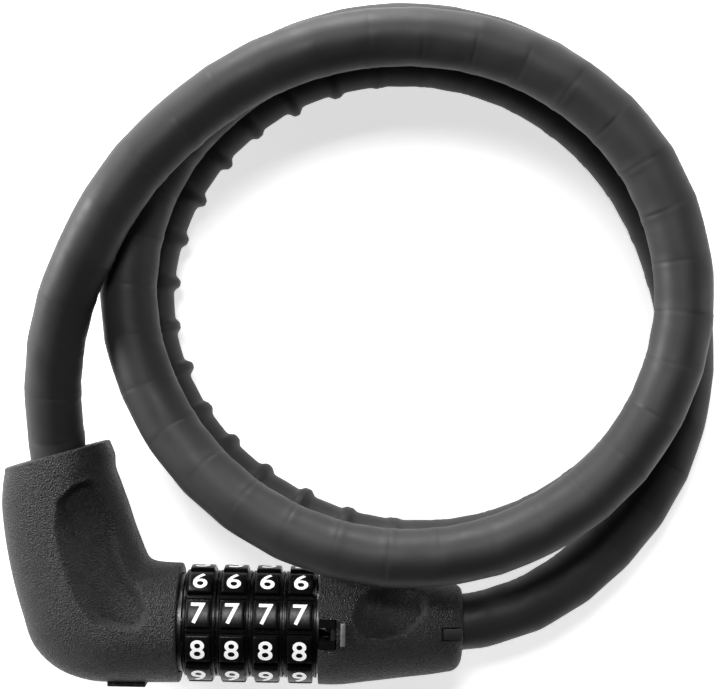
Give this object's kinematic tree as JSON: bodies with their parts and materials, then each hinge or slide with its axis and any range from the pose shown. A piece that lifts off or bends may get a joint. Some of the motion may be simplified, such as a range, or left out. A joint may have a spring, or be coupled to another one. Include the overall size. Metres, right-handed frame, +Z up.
{
  "type": "cable lock",
  "caption": "Combination cable lock with an elbow body, a row of number dials and a sliding bolt head, its armoured black cable wound in flat turns.",
  "frame": {"origin": "on the surface, under the middle of the lock without its cable", "axes": "+X along the dial axis from the elbow to the bolt head, +Y towards the coil, +Z up"},
  "size_m": [0.1914, 0.1822, 0.0462],
  "materials": {
    "shell_plastic": "black moulding with a fine sparkling grain",
    "dial_plastic": "black, half gloss, with white printed numbers",
    "cable_cover": "smooth satin black vinyl drawn tight over the armour",
    "armour_steel": "bare pressed steel",
    "rope_steel": "galvanised wire",
    "seal_rubber": "black rubber",
    "bolt_steel": "hardened, nickel plated",
    "plated_steel": "zinc plated",
    "spring_steel": "drawn spring wire",
    "slider_plastic": "black moulding",
    "mark_white": "pale grey inlay",
    "clip_grey": "dark inlay",
    "screw_steel": "blackened steel"
  },
  "bodies": {
    "lock_body": {"elbow_front_shell": "shell_plastic", "elbow_back_shell": "shell_plastic", "elbow_screws": "screw_steel", "elbow_anchor_pin": "bolt_steel", "elbow_ferrule": "bolt_steel", "elbow_cable_seal": "seal_rubber", "core_tube": "bolt_steel", "dial_discs": "plated_steel", "click_leaf": "spring_steel", "locating_collar": "plated_steel", "retaining_ring": "plated_steel", "reset_springs": "spring_steel", "ejector_spring": "spring_steel", "cable_sleeve": "cable_cover", "armour_links": "armour_steel", "wire_rope": "rope_steel"},
    "bolt_head": {"bolt": "bolt_steel", "bolt_o_ring": "seal_rubber", "head_front_shell": "shell_plastic", "head_back_shell": "shell_plastic", "head_screws": "screw_steel", "head_pins": "bolt_steel", "head_cable_seal": "seal_rubber", "index_bar": "mark_white", "end_clip": "clip_grey"},
    "reset_carriage": {"reset_slider": "slider_plastic"},
    "dial_1": {"number_ring_1": "dial_plastic"},
    "code_1": {"code_ring_1": "plated_steel"},
    "dial_2": {"number_ring_2": "dial_plastic"},
    "code_2": {"code_ring_2": "plated_steel"},
    "dial_3": {"number_ring_3": "dial_plastic"},
    "code_3": {"code_ring_3": "plated_steel"},
    "dial_4": {"number_ring_4": "dial_plastic"},
    "code_4": {"code_ring_4": "plated_steel"}
  },
  "joints": [
    {"name": "bolt_slide", "type": "slide", "parent": "lock_body", "child": "bolt_head", "axis": [1, 0, 0], "range_m": [0, 0.04], "deforming": ["cable_sleeve", "armour_links", "wire_rope", "ejector_spring"]},
    {"name": "reset_slide", "type": "slide", "parent": "lock_body", "child": "reset_carriage", "axis": [-1, 0, 0], "range_m": [0, 0.0029], "stiffness_N_per_m": 300, "springref_m": -0.003, "deforming": ["reset_springs"]},
    {"name": "dial_turn_1", "type": "hinge", "parent": "lock_body", "child": "dial_1", "pos_m": [0.00521, -0.016, 0.016], "axis": [1, 0, 0], "continuous": true},
    {"name": "dial_turn_2", "type": "hinge", "parent": "lock_body", "child": "dial_2", "pos_m": [0.00521, -0.016, 0.016], "axis": [1, 0, 0], "continuous": true},
    {"name": "dial_turn_3", "type": "hinge", "parent": "lock_body", "child": "dial_3", "pos_m": [0.00521, -0.016, 0.016], "axis": [1, 0, 0], "continuous": true},
    {"name": "dial_turn_4", "type": "hinge", "parent": "lock_body", "child": "dial_4", "pos_m": [0.00521, -0.016, 0.016], "axis": [1, 0, 0], "continuous": true},
    {"name": "code_turn_1", "type": "hinge", "parent": "reset_carriage", "child": "code_1", "pos_m": [0.00521, -0.016, 0.016], "axis": [1, 0, 0], "continuous": true},
    {"name": "code_turn_2", "type": "hinge", "parent": "reset_carriage", "child": "code_2", "pos_m": [0.00521, -0.016, 0.016], "axis": [1, 0, 0], "continuous": true},
    {"name": "code_turn_3", "type": "hinge", "parent": "reset_carriage", "child": "code_3", "pos_m": [0.00521, -0.016, 0.016], "axis": [1, 0, 0], "continuous": true},
    {"name": "code_turn_4", "type": "hinge", "parent": "reset_carriage", "child": "code_4", "pos_m": [0.00521, -0.016, 0.016], "axis": [1, 0, 0], "continuous": true}
  ],
  "couplings": [
    {"joint": "code_turn_1", "follows": "dial_turn_1", "ratio": 1},
    {"joint": "code_turn_2", "follows": "dial_turn_2", "ratio": 1},
    {"joint": "code_turn_3", "follows": "dial_turn_3", "ratio": 1},
    {"joint": "code_turn_4", "follows": "dial_turn_4", "ratio": 1}
  ]
}
